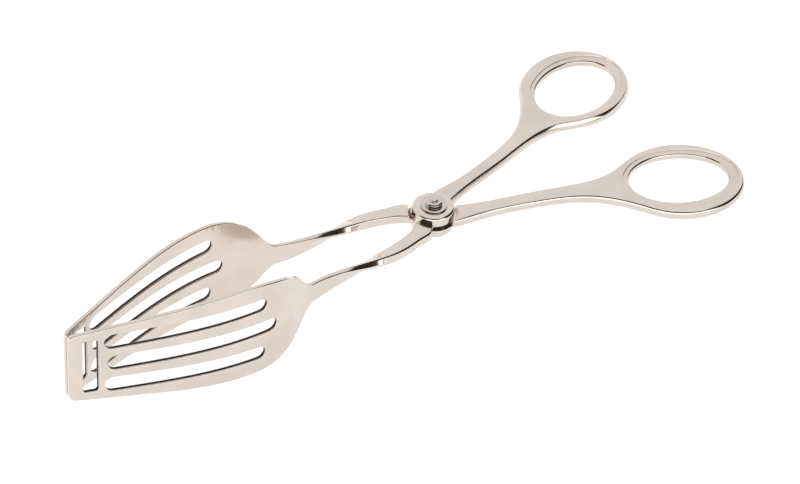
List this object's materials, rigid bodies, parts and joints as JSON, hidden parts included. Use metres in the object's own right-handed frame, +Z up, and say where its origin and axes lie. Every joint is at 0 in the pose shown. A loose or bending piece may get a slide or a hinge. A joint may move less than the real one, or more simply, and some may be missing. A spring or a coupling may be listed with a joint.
{
  "type": "scissor serving tongs",
  "caption": "Steel scissor tongs with finger rings, a pinned half-lap joint and tall slotted blades that meet at their tips.",
  "frame": {"origin": "centre of the closed tongs' footprint, on the table they lie on", "axes": "+X from the blades towards the finger rings, +Y towards the upper arm's ring, +Z up"},
  "size_m": [0.2125, 0.0842, 0.0329],
  "materials": {
    "polished_steel": "polished stainless steel",
    "rivet_steel": "turned stainless steel"
  },
  "bodies": {
    "lower": {"lower_arm": "polished_steel", "pivot_screw": "rivet_steel", "pivot_washer": "rivet_steel", "pivot_nut": "rivet_steel"},
    "upper": {"upper_arm": "polished_steel"}
  },
  "joints": [
    {"name": "tongs_pivot", "type": "hinge", "parent": "lower", "child": "upper", "pos_m": [0.01517, 0, 0.00976], "axis": [0.0894, 0, 0.996], "range_deg": [0, 52]}
  ]
}
